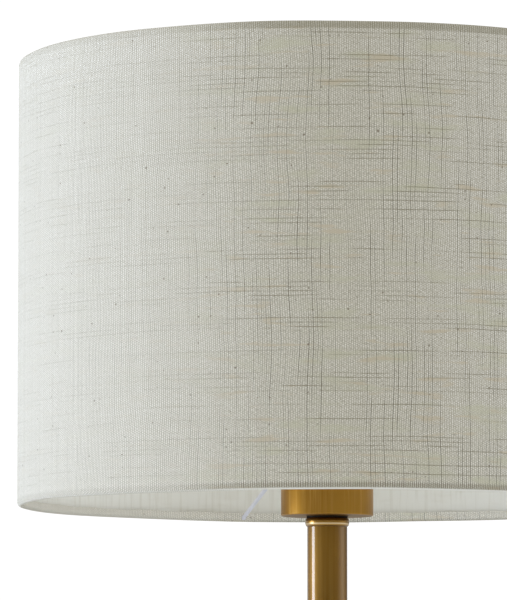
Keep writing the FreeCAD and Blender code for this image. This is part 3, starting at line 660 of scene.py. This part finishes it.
# %% Making the three wires
wire_radius, weld_flare, weld_foot, weld_length = 1.2 * mm, 0.45 * mm, 0.12 * mm, 2.2 * mm
ring_low, ring_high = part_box("bottom_ring")
ring_circle = ring_high.x - wire_radius
fitter_low, fitter_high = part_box("fitter_ring")
for number in (1, 2, 3):
    low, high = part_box(f"fitter_arm_{number}")
    way = Vector((low.x + high.x, low.y + high.y, 0)).normalized()
    outer = way * (ring_circle - 0.9 * mm) + Vector((0, 0, (ring_low.z + ring_high.z) / 2))
    inner = way * (fitter_high.x - 0.2 * mm) + Vector((0, 0, (fitter_low.z + fitter_high.z) / 2))
    long = (inner - outer).length
    profile = [(0, 0), (wire_radius + weld_flare, 0), (wire_radius + weld_foot, 1.0 * mm),
               (wire_radius, weld_length), (wire_radius, long - weld_length),
               (wire_radius + weld_foot, long - 1.0 * mm), (wire_radius + weld_flare, long), (0, long)]
    wire = stand_between(lathe(profile, steps=32, ring=False), outer, inner)
    fit(wire, f"shade_wire_{number}", "shade", powder_white, f"fitter_arm_{number}")

# %% [markdown]
# ## The shade's rings
# The lower and upper rings are hidden in the hems and keep the drum round. A round wire bent to
# a ring is a torus: a small circle spun at a distance from the axis.

# %% Making the two rings
for node, name in (("bottom_ring", "lower_ring"), ("top_ring", "upper_ring")):
    level = sum(corner.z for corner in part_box(node)) / 2
    round_wire = [(ring_circle + wire_radius * math.cos(a), level + wire_radius * math.sin(a))
                  for a in (math.radians(30 * i) for i in range(12))]
    fit(lathe(round_wire, steps=360), name, "shade", powder_white, node)

# %% [markdown]
# ## Linen, one thread at a time
# The cover is a slubby plain weave: threads a little over a millimetre apart, of uneven
# thickness. Its map is in metres round and up the shade, so the number of a thread is its place
# divided by the pitch, rounded down. Each thread gets a tone of its own, a random number made
# from its number, and a rounded height across its width. Slubs are the dark swellings of
# hand-spun yarn. Only every second thread may have them, and noise along the thread says where
# they start and end, a few centimetres apart.

# %% Helpers that spin the yarn
thread = 1.24 * mm
linen_pale, linen_dark_and_shade = (0.88, 0.84, 0.765), (0.33, 0.30, 0.22)
linen_tan, linen_olive = (0.62, 0.545, 0.42), (0.60, 0.58, 0.44)
linen_slub, linen_groove_shade = (0.22, 0.185, 0.11), (0.12, 0.105, 0.065)


def threads(finish, across, seed):
    """Rows of threads: each row's number, a tone of its own, and its rounded height."""
    count = calc(finish, "DIVIDE", across, thread)
    row = calc(finish, "FLOOR", count)
    tone = add(finish, "TexWhiteNoise", props={"noise_dimensions": "1D"}, W=calc(finish, "ADD", row, seed))
    height = calc(finish, "ABSOLUTE", calc(finish, "SINE", times(finish, count, math.pi)))
    return row, tone, height


def slubs(finish, rows, along, share, length, seed):
    """Dark swellings along some rows of threads; a bigger share gives more of them."""
    row, tone, height = rows
    chosen = times(finish, tone, calc(finish, "FLOORED_MODULO", row, 2.0))
    stretched = calc(finish, "DIVIDE", along, length)
    spot = add(finish, "CombineXYZ", _0=times(finish, row, 3.7), _1=stretched, _2=seed)
    swelling = add(finish, "TexNoise", Vector=spot, Scale=1.0, Detail=1.5)
    return times(finish, between(finish, chosen, 1.0 - share, 1.0 - share / 2),
                 between(finish, swelling, 0.42, 0.58), between(finish, height, 0.84, 1.0))


print("threads round the shade:", round(2 * math.pi * shade_high.x / thread))

# %% [markdown]
# ## Laying warp and weft
# The threads that run up are the warp, and those that run round are the weft. A slow wobble
# bends both, because hand-spun yarn is never straight. The up-and-down slubs lie in the
# grooves between warp threads, where they show as thin, sharp lines, so they get rows of their
# own, half a pitch to the side. Their near-black colour there is partly the slub and partly
# painted shade in the groove.

# %% Laying the threads
linen, linen_shader = new_finish("cover_linen", linen_pale, 0.9, Sheen_Weight=0.08, Sheen_Roughness=0.45,
                                 Specular_IOR_Level=0.2)
where = add(linen, "TexCoord", out="UV")
round_shade = add(linen, "SeparateXYZ", _0=where)
up_shade = round_shade.node.outputs[1]
slow_sway = times(linen, blotches(linen, where, (10, 9, 1)), 12.0 * mm)
quick_sway = times(linen, blotches(linen, where, (90, 45, 1), detail=1.0), 0.9 * mm)
dip = times(linen, blotches(linen, where, (14, 40, 1)), 2.5 * mm)
across = calc(linen, "ADD", round_shade, calc(linen, "ADD", slow_sway, quick_sway))
climb = calc(linen, "ADD", up_shade, dip)

warp_seed, weft_seed, groove_seed = 11.0, 47.0, 29.0
warp_row, warp_tone, warp_height = threads(linen, across, warp_seed)
weft = threads(linen, climb, weft_seed)
weft_tone = weft[1]
grooves = threads(linen, calc(linen, "ADD", across, thread / 2), groove_seed)
warp_slubs = slubs(linen, grooves, climb, 0.75, 62 * mm, groove_seed)
weft_slubs = slubs(linen, weft, across, 0.66, 40 * mm, weft_seed)
print("thread pitch in mm:", thread / mm)

# %% [markdown]
# ## Over and under
# At a crossing one thread passes over the other, half a pitch higher on every second warp
# thread, which gives the bricklike pattern of a plain weave. Where both threads are high the cloth
# stands out, and in the grooves it is painted dark, as painted shade. Much finer noise stands for
# the yarn's own fibres.

# %% Crossing the threads
half_step = times(linen, calc(linen, "FLOORED_MODULO", warp_row, 2.0), 0.5)
staggered = calc(linen, "ADD", calc(linen, "DIVIDE", climb, thread), half_step)
crossing = calc(linen, "ABSOLUTE", calc(linen, "SINE", times(linen, staggered, math.pi)))
weave = times(linen, warp_height, calc(linen, "POWER", crossing, 0.6))
fibres = blotches(linen, where, (1250, 700, 1), detail=2.0, roughness=0.6)
print("threads up the shade:", round((shade_high.z - shade_low.z) / thread))

# %% [markdown]
# ## Colouring the cloth
# The colour is built up in layers, from the yarn's own tone, over the grooves, painted dark as
# painted shade, and stray fibres, to tan smudges where the yarn kept some of its bark, an olive
# drift, the slubs, and rare specks. In the photograph all of this is strong on the lamp's front
# and fades out to its left, where the key light falls strongest and washes it out. A step in the
# angle round the shade weakens the layers there, so that fade is painted light.

# %% Colouring the linen
# painted light: the marks fade on the lamp's left, where the key light falls
painted_light_fade = between(linen, calc(linen, "COSINE", calc(linen, "DIVIDE", round_shade, shade_high.x)), -0.62, -0.02)
patchy = times(linen, between(linen, painted_light_fade, 0.0, 1.0, 0.25, 1.0),
               between(linen, blotches(linen, where, (11, 16, 1), detail=1.0), 0.36, 0.56, 0.60, 1.0))
tone = calc(linen, "ADD", times(linen, warp_tone, 0.55), times(linen, weft_tone, 0.25))
stray = times(linen, between(linen, fibres, 0.34, 0.60, 1.0, 0.0),
              between(linen, painted_light_fade, 0.0, 1.0, 0.22, 0.46))
tan = between(linen, blotches(linen, where, (34, 230, 1), detail=2.5), 0.57, 0.70, 0.0, 0.85)
olive = between(linen, blotches(linen, where, (24, 110, 1), detail=3.0), 0.50, 0.72, 0.0, 0.68)
speck = between(linen, blotches(linen, where, (420, 420, 1), detail=0.0), 0.80, 0.86, 0.0, 0.7)

colour = blend(linen, between(linen, tone, 0.0, 0.8, 0.0, 0.10), linen_pale, linen_dark_and_shade)
# painted shade: the grooves between threads darker
colour = blend(linen, between(linen, weave, 0.05, 0.85, 0.66, 0.0), colour, linen_dark_and_shade)
colour = blend(linen, stray, colour, linen_dark_and_shade)
stained = blend(linen, tan, blend(linen, olive, colour, linen_olive), linen_tan)
# the stains are weaker on the lit left side: painted light
colour = blend(linen, between(linen, painted_light_fade, 0.0, 1.0, 0.15, 1.0), colour, stained)
# warp slubs in the grooves: slub colour and painted groove shade
colour = blend(linen, times(linen, warp_slubs, patchy, 0.9), colour, linen_groove_shade)
colour = blend(linen, times(linen, weft_slubs, patchy, 0.9), colour, linen_slub)
colour = blend(linen, speck, colour, (0.20, 0.16, 0.11))
print("layers of colour: tone, weave, fibres, olive, tan, slubs, specks")

# %% [markdown]
# ## Painted light and shade at the hems
# At both rims the cloth is folded over a wire ring, so two layers lie on each other and let less
# light through: they are painted darker as painted shade, with the ribs of the inner one showing
# through at the top. Just above the lower fold the gaps between threads are painted darker still,
# as painted shade in the weave. Below them the fold's edge is a pale lip, a painted highlight where
# the fold catches light from below, and the narrow strip that is turned up inside is painted
# paler, as painted light, because the lamp's own light falls on it. All of these are steps in the
# height on the map.

# %% Painting shade and light at the hems
def above_rim(low, high, to_low=0.0, to_high=1.0):
    """A step in the height above the shade's lower rim, in millimetres along the cloth."""
    return between(linen, up_shade, shade_low.z + low * mm, shade_low.z + high * mm, to_low, to_high)


# shadier weakens the painted marks on the lit left side, as painted light
shadier = between(linen, painted_light_fade, 0.0, 1.0, 0.25, 1.0)
below_top = shade_high.z - 4.2 * mm
# painted shade: the inner layer's ribs darken the cloth below the top rim
top_band_shade = times(linen, between(linen, up_shade, below_top - 0.7 * mm, below_top + 0.7 * mm),
                 between(linen, warp_height, 0.2, 0.9, 1.0, 0.45))
# painted shade where the cloth is doubled; the next line paints the turned-in strip lighter
doubled_shade = calc(linen, "ADD", top_band_shade, above_rim(3.1, 3.9, 0.40, 0.0))
doubled_shade = calc(linen, "SUBTRACT", doubled_shade, above_rim(-4.0, -2.0, 0.40, 0.0))
# painted shade: the gaps between threads darker just above the lower fold
gap_shade = times(linen, above_rim(3.4, 5.0, 1.0, 0.0), above_rim(0.9, 1.5),
                 between(linen, warp_height, 0.25, 0.8, 0.75, 0.0))
# painted highlight: a pale line along the lower fold's edge
lip_highlight = calc(linen, "SUBTRACT", above_rim(0.5, 1.0, 0.85, 0.0), above_rim(-1.4, -0.9, 0.85, 0.0))

colour = blend(linen, times(linen, doubled_shade, shadier), colour, linen_dark_and_shade)
# painted light: the turned-up strip inside is paler
colour = blend(linen, above_rim(-4.0, -2.0, 0.16, 0.0), colour, (0.86, 0.885, 0.87))
colour = blend(linen, times(linen, gap_shade, shadier), colour, (0.20, 0.175, 0.125))
colour = blend(linen, times(linen, lip_highlight, shadier), colour, (0.97, 0.95, 0.90))
link(linen, linen_shader, Base_Color=colour)
print("hem marks: doubled cloth, turned-in strip, stitches, lip")

# %% [markdown]
# ## Raising the weave
# Colour alone looks printed. The same weave and fibres also bump the surface, and the slubs dent
# it, so the threads catch light from the side.

# %% Raising the linen
raised = calc(linen, "ADD", times(linen, weave, 2.0), fibres)
raised = calc(linen, "SUBTRACT", raised, calc(linen, "ADD", warp_slubs, weft_slubs))
relief(linen, linen_shader, times(linen, raised, 0.25), 0.35 * mm, 0.7)
print("nodes in the linen:", len(linen.node_tree.nodes))

# %% [markdown]
# ## The drum
# The cover is one strip of linen, laminated round the liner. It is rolled over both wire rings and
# turned up inside as a narrow hem. The profile runs once round the cloth's thickness and is
# spun in fine steps, so that the long rims look round from close by.

# %% Rolling the linen over the rings
shade_radius, low, high = shade_high.x, shade_low.z, shade_high.z
cloth, fold, hem = 0.6 * mm, 2.1 * mm, 5.0 * mm
middle = shade_radius - fold
forward = [math.pi * i / 6 for i in range(7)]
backward = forward[::-1]


def rolled(radius, way, turns):
    """Half a turn of cloth round a rim's wire: way is 1 over the top, -1 under the bottom."""
    centre = high - fold if way > 0 else low + fold
    return [(middle + radius * math.cos(a), centre + way * radius * math.sin(a)) for a in turns]


levels = [low + 8 * mm, low + 18 * mm, low + 30 * mm, high - 30 * mm, high - 18 * mm, high - 8 * mm]
profile = ([(middle - fold, low + hem)] + rolled(fold, -1, backward) + [(shade_radius, z) for z in levels]
           + rolled(fold, 1, forward) + [(middle - fold, high - hem), (middle - fold + cloth, high - hem)]
           + rolled(fold - cloth, 1, backward) + [(shade_radius - cloth, z) for z in reversed(levels)]
           + rolled(fold - cloth, -1, forward) + [(middle - fold + cloth, low + hem)])
cover = wrap_round(lathe(profile, steps=480), shade_radius)
print("points in the cover's profile:", len(profile))

# %% [markdown]
# ## Unrolling the hems on the map
# The map's height is measured up the drum's side. Round a rim the cloth goes on, so there the
# map counts the way along the fold and then down the hem. Without this the weave would be
# squashed to lines where the cloth turns over.

# %% Mapping the folds
along_cloth = cover.loops.layers.uv.active
for face in cover.faces:
    for loop in face.loops:
        place, out = loop.vert.co, loop.vert.co.xy.length - middle
        for rim, way in ((low, 1), (high, -1)):
            past = way * (rim + way * fold - place.z)
            if past > -1e-6:
                loop[along_cloth].uv.y = rim + way * fold - way * fold * math.atan2(past, out)
            elif out < -cloth and past > -hem:
                loop[along_cloth].uv.y = rim + way * fold * (1 - math.pi) + way * past
print("way over a fold in mm:", round(math.pi * fold / mm, 1))

# %% [markdown]
# ## Rims that aren't perfect
# A hand-made rim isn't quite level: smooth noise lifts it by a few tenths of a millimetre and
# fades out down the side. The hem's raw edge wanders more, and at the back a narrow strip is
# thicker, where the ends of the cloth overlap. The noise is read on a circle, so it meets
# itself and has no step, and it is the same on each run.

# %% Making the rims uneven
overlap, seam_at = 13 * mm, math.radians(73)
rim_fade, rim_lift, hem_wander, seam_lift = 30 * mm, 0.5 * mm, 0.9 * mm, 0.35 * mm


def unevenness(angle, waves, seed):
    """A smooth random number from -1 to 1 that closes on itself round the shade."""
    return noise.noise(Vector((waves * math.cos(angle), waves * math.sin(angle), seed)))


for v in cover.verts:
    angle, out = math.atan2(v.co.y, v.co.x), v.co.xy.length
    near_low = max(0.0, 1 - (v.co.z - low) / rim_fade)
    near_high = max(0.0, 1 - (high - v.co.z) / rim_fade)
    v.co.z += rim_lift * (near_low ** 2 * unevenness(angle, 3.0, 1.5)
                          + near_high ** 2 * unevenness(angle, 3.0, 7.5))
    if out < middle - fold + cloth * 1.5 and abs(v.co.z - (low + high) / 2) < (high - low) / 2 - 3.5 * mm:
        v.co.z += hem_wander * unevenness(angle, 9.0, 3.5)
    if abs(angle - seam_at) < overlap / 2 / shade_radius and out > shade_radius - cloth / 2:
        v.co += Vector((v.co.x, v.co.y, 0)).normalized() * seam_lift
drum = fit(cover, "linen_cover", "shade", linen, "shade_cover", smooth=60)

# %% [markdown]
# ## The liner
# Inside, the linen is glued to a stiff, warm white sheet. Light from outside shows a trace of the
# weave through it, so its finish repeats the threads' smudges very faintly, and its left side is
# painted whiter, as painted light from the key light on that side. The sheet is a thin ring, a
# plain lathe piece.

# %% Making the liner
liner_white, bsdf = new_finish("liner_white", (0.74, 0.73, 0.68), 0.55)
where = add(liner_white, "TexCoord", out="UV")
shadow = blotches(liner_white, where, (420, 34, 1), detail=2.0)
clouds = blotches(liner_white, where, (30, 120, 1), detail=3.0)
tint = calc(liner_white, "ADD", between(liner_white, shadow, 0.45, 0.75, 0.0, 0.35),
            between(liner_white, clouds, 0.5, 0.75, 0.0, 0.3))
turn = calc(liner_white, "DIVIDE", add(liner_white, "SeparateXYZ", _0=where), shade_radius)
# painted light: the liner is whiter on the lamp's left
inner_painted_shade = between(liner_white, calc(liner_white, "COSINE", turn), -0.95, -0.3)
light_side = blend(liner_white, inner_painted_shade, (0.88, 0.875, 0.83), (0.755, 0.745, 0.695))
link(liner_white, bsdf, Base_Color=blend(liner_white, tint, light_side, (0.60, 0.57, 0.49)))
relief(liner_white, bsdf, shadow, 3e-5)
liner = lathe(tube_profile("shade_liner", 0.5 * mm), steps=360)
fit(wrap_round(liner, shade_radius), "shade_lining", "shade", liner_white, "shade_liner")

# %% [markdown]
# ## The bulb's glass
# A globe lamp of opal glass: white, softly glossy, with a little light passing into it. The
# glass is a shell, so the profile is an arc outside and a smaller one back inside, both ending
# on the axis, where the spin closes them.

# %% Blowing the globe
opal, bsdf = new_finish("opal_glass", (0.86, 0.86, 0.84), 0.22, Coat_Weight=0.6, Coat_Roughness=0.06,
                        Subsurface_Weight=0.25, Subsurface_Scale=0.01)
where = add(opal, "TexCoord", out="Object")
milk = blotches(opal, where, (25, 25, 25), detail=3.0)
link(opal, bsdf, Base_Color=blend(opal, milk, (0.88, 0.88, 0.86), (0.82, 0.82, 0.79)),
     Roughness=between(opal, blotches(opal, where, (900, 900, 900)), 0.3, 0.7, 0.18, 0.28))

globe_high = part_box("bulb_globe")[1]
globe_radius, glass = globe_high.x, 1.2 * mm
globe_centre, mouth_angle, arc_steps = globe_high.z - globe_radius, math.radians(-20), 40
arc = [mouth_angle + (math.pi / 2 - mouth_angle) * i / arc_steps for i in range(arc_steps)]


def dome(radius):
    """An arc from the globe's mouth up to its top on the axis."""
    side = [(radius * math.cos(a), globe_centre + radius * math.sin(a)) for a in arc]
    return side + [(0.0, globe_centre + radius)]


globe = lathe(dome(globe_radius) + dome(globe_radius - glass)[::-1], steps=128)
fit(globe, "opal_globe", "bulb", opal, "bulb_globe", smooth=50)

# %% [markdown]
# ## The bulb's skirt and cap
# A moulded collar meets the glass in a fine groove, and the nickel cap has a rolled thread that
# fits the holder's shell. The cap starts as an open thread. Its two rims are extruded and
# gathered to circles, one at the insulator and one under the collar, and the whole skin then
# gets its thickness.

# %% Making the skirt and the cap
fit(smoothed_copy("bulb_collar", edge=0.3 * mm), "bulb_skirt", "bulb", white_plastic, "bulb_collar")

cap_low, cap_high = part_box("bulb_cap")
thread_low, thread_high = cap_low.z + 2.4 * mm, cap_high.z - 1.5 * mm
cap = threaded(thread_low, thread_high, cap_high.x - 0.45 * mm, 0.8 * mm, thread_pitch)
for rim, radius, level in ((thread_low, 11.4 * mm, cap_low.z),
                           (thread_high, cap_high.x - 0.3 * mm, cap_high.z)):
    edges = [e for e in cap.edges if e.is_boundary and all(abs(v.co.z - rim) < 1e-5 for v in e.verts)]
    drawn = bmesh.ops.extrude_edge_only(cap, edges=edges)["geom"]
    for v in [v for v in drawn if isinstance(v, bmesh.types.BMVert)]:
        outward = Vector((v.co.x, v.co.y, 0)).normalized() * radius
        v.co = Vector((outward.x, outward.y, level))
bmesh.ops.recalc_face_normals(cap, faces=cap.faces)
bmesh.ops.solidify(cap, geom=cap.faces[:], thickness=0.3 * mm)
fit(cap, "screw_cap", "bulb", cap_metal, "bulb_cap", smooth=50)

# %% [markdown]
# ## Finishes for what is still a plain solid
# The inner parts keep their own solids: contacts, screws, plates, the pipe and the shaft. They
# can't be reshaped, but their material slots can be given the finishes made above.

# %% Giving the inner solids their finishes
for name, solid in frame["nodes"].items():
    solid.data.materials.clear()
    solid.data.materials.append(finish_of.get(slot_of[name], black_plastic))
print("solids painted:", len(frame["nodes"]))

# %% [markdown]
# ## The studio's floor
# A pale, matt floor far wider than the lamp shows its shadow and throws some light back up. It
# lies half a millimetre under the rubber tips, so that their flat soles don't flicker with it.
# It is part of the stage and not of the lamp.

# %% Laying the floor
floor_finish, bsdf = new_finish("pale_floor", (0.80, 0.80, 0.79), 0.6)
uneven = blotches(floor_finish, add(floor_finish, "TexCoord", out="Object"), (3, 3, 3), detail=4.0)
link(floor_finish, bsdf, Base_Color=blend(floor_finish, uneven, (0.82, 0.82, 0.81), (0.78, 0.78, 0.77)))
ground = bmesh.new()
bmesh.ops.create_grid(ground, x_segments=4, y_segments=4, size=12.0)
bmesh.ops.translate(ground, verts=ground.verts, vec=(0, 0, -0.5 * mm))
floor_mesh = bpy.data.meshes.new("floor")
ground.to_mesh(floor_mesh)
ground.free()
floor_mesh.materials.append(floor_finish)
floor = bpy.data.objects.new("floor", floor_mesh)
bpy.context.scene.collection.objects.link(floor)
print("floor in metres across:", round(floor.dimensions.x, 1))

# %% [markdown]
# ## Two soft boxes and a glow
# The shade is brightest at its left edge and darkest a little right of its middle, so the main
# light stands far to the left, level with the shade, with a weaker one to the right. Only the
# left one shows in reflections, as the bright line on the stem. The right one would add a hard
# line that the photograph doesn't have, so it lights surfaces and stays out of their gloss. A
# faint glow inside the drum stands for the light that comes through the cloth.

# %% Hanging the lights
def soft_box(name, bearing, height, away, wide, tall, power, colour, mirrored=True):
    """An area light aimed at the shade; the bearing is in degrees, 0 in front, 90 to the right."""
    data = bpy.data.lights.new(name, "AREA")
    data.shape, data.size, data.size_y = "RECTANGLE", wide, tall
    data.energy, data.color = power, colour
    light = bpy.data.objects.new(name, data)
    bpy.context.scene.collection.objects.link(light)
    turn = math.radians(bearing)
    light.location = (away * math.sin(turn), -away * math.cos(turn), height)
    aim = Vector((0, 0, 0.5)) - light.location
    light.rotation_mode = "QUATERNION"
    light.rotation_quaternion = aim.to_track_quat("-Z", "Y")
    light.visible_camera, light.visible_glossy = False, mirrored


soft_box("left_box", -88, 0.62, 2.2, 0.78, 1.6, 36.6, (0.69, 0.80, 1.0))
soft_box("right_box", 92, 0.62, 2.2, 1.2, 1.6, 11.5, (0.69, 0.78, 1.0), mirrored=False)
glow_data = bpy.data.lights.new("inside_glow", "POINT")
glow_data.energy, glow_data.shadow_soft_size = 0.40, 0.05
glow = bpy.data.objects.new("inside_glow", glow_data)
bpy.context.scene.collection.objects.link(glow)
glow.location = (-14 * mm, 0, globe_high.z + 60 * mm)
glow.visible_camera = False

# %% [markdown]
# ## The room in the reflections
# Polished metal shows what stands round it, and in a plain white room it would look like paper.
# The sky therefore has three faces. The camera sees white, matt surfaces get an even, pale
# light, and reflections get a ring of lighter and darker tones, as walls, a window and dark
# corners would give. Each tone has its bearing round the lamp, in degrees: 0 in front, 90 to
# the right. The bright one at 94 draws the line on the right of the stem.

# %% Toning the room
room_tones = ((-180, 0.26), (-164, 0.45), (-142, 0.40), (-124, 0.14), (-106, 0.40), (-88, 0.60), (-68, 0.30),
              (-48, 0.09), (0, 0.03), (36, 0.04), (60, 0.12), (76, 0.50), (94, 1.0), (112, 0.60),
              (126, 0.14), (158, 0.16), (179, 0.26))
sky = bpy.data.worlds.new("studio_sky")
bpy.context.scene.world = sky
sky.use_nodes = True
tree = sky.node_tree
kinds = {"facing": "TexCoord", "turned": "Mapping", "bearing": "TexGradient", "tones": "ValToRGB",
         "ray": "LightPath", "seen": "Background", "mirrored": "Background",
         "gloss_or_not": "MixShader", "camera_or_not": "MixShader"}
part = {name: tree.nodes.new("ShaderNode" + kind) for name, kind in kinds.items()}
part["room"], part["world"] = tree.nodes["Background"], tree.nodes["World Output"]
for name, tone, strength in (("room", (0.985, 1.0, 0.96, 1), 0.76), ("seen", (1, 1, 1, 1), 1.05)):
    part[name].inputs["Color"].default_value = tone
    part[name].inputs["Strength"].default_value = strength
part["turned"].inputs["Rotation"].default_value = (0, 0, math.radians(90))
part["bearing"].gradient_type = "RADIAL"
ramp = part["tones"].color_ramp.elements
for place, (degrees, tone) in enumerate(room_tones):
    stop = ramp[place] if place < 2 else ramp.new(1.0)
    stop.position, stop.color = (degrees + 180) / 360, (tone, tone, tone, 1)
print("tones round the room:", len(room_tones))

# %% [markdown]
# ## Wiring the room
# Each row of the table below is one link: from a node and its output to a node and its input. The
# first mix picks the toned ring for reflections, and the second one picks white for the camera.

# %% Wiring the room
for start, out, end, socket in (
        ("facing", "Generated", "turned", 0), ("turned", 0, "bearing", 0), ("bearing", "Fac", "tones", 0),
        ("tones", "Color", "mirrored", "Color"), ("ray", "Is Glossy Ray", "gloss_or_not", 0),
        ("room", 0, "gloss_or_not", 1), ("mirrored", 0, "gloss_or_not", 2),
        ("ray", "Is Camera Ray", "camera_or_not", 0), ("gloss_or_not", 0, "camera_or_not", 1),
        ("seen", 0, "camera_or_not", 2), ("camera_or_not", 0, "world", 0)):
    tree.links.new(part[start].outputs[out], part[end].inputs[socket])
bpy.context.scene.view_settings.view_transform = "Standard"
print("links in the sky:", len(tree.links))
